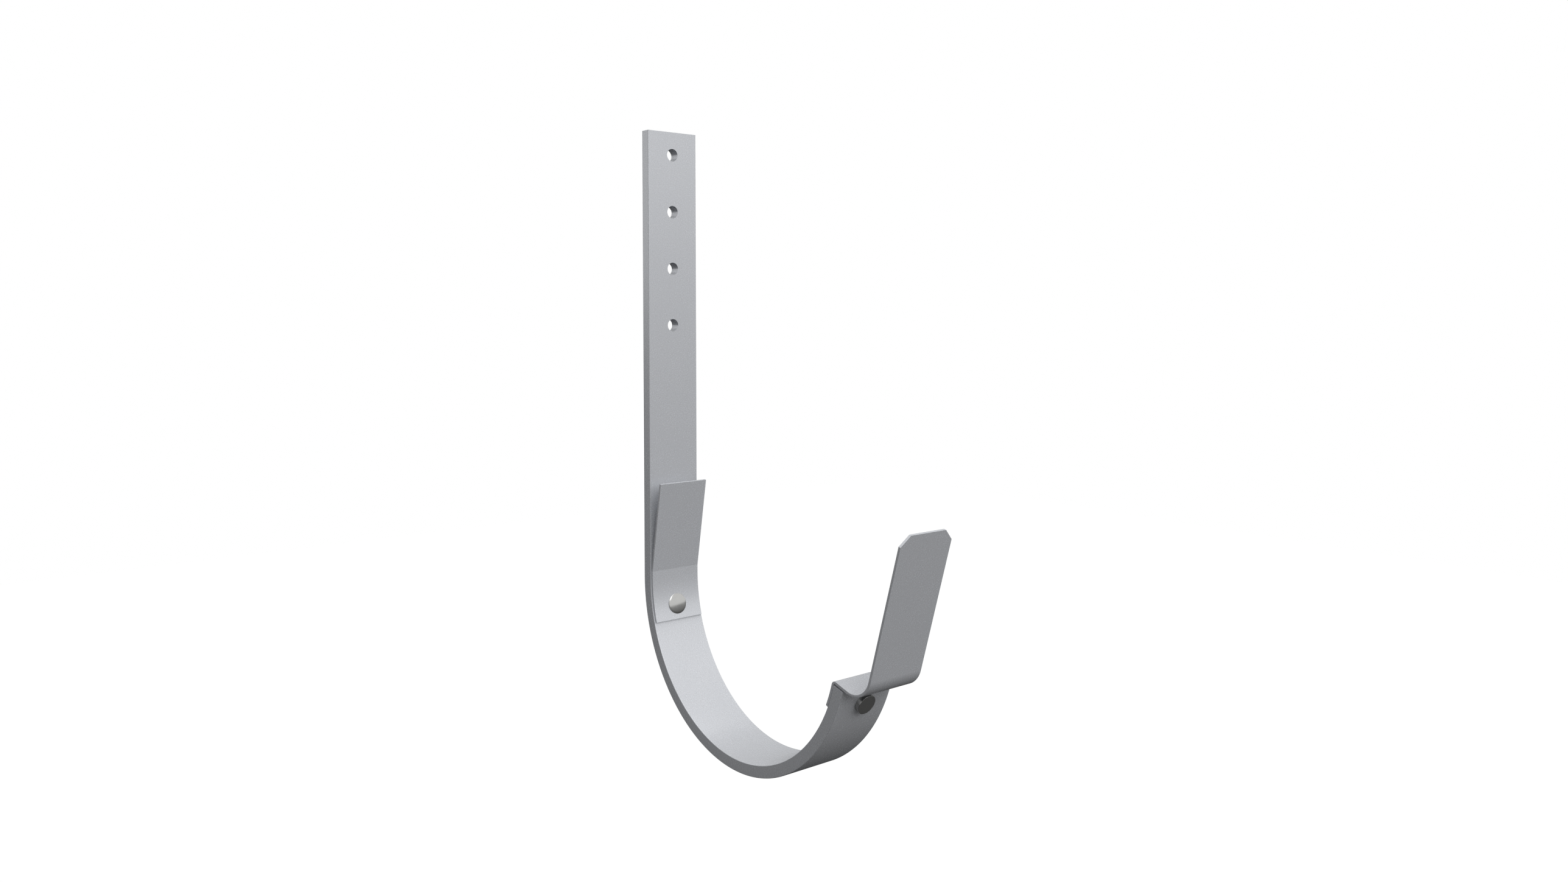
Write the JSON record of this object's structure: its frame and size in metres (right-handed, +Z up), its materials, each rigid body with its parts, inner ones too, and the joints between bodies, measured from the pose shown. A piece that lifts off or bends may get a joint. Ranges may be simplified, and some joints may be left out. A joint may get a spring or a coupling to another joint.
{
  "type": "gutter bracket",
  "caption": "Half-round gutter bracket: a flat bar with a straight screw shank and a curved hook, and riveted sheet clips that bend over the gutter's rear edge and its front bead.",
  "frame": {"origin": "centre of the row of screw holes, on the back face of the shank", "axes": "+X from the wall to the front of the gutter, +Y along the gutter and across the bar, +Z up the shank"},
  "size_m": [0.1626, 0.025, 0.264],
  "materials": {
    "coated_bar": "satin light grey coating with a fine grain",
    "coated_sheet": "satin light grey coating with a fine grain",
    "rivet_metal": "smooth, glossy"
  },
  "bodies": {
    "root": {"hook_bar": "coated_bar", "rear_clip": "coated_sheet", "front_clip": "coated_sheet", "rear_rivet": "rivet_metal", "front_rivet": "rivet_metal"}
  },
  "joints": []
}
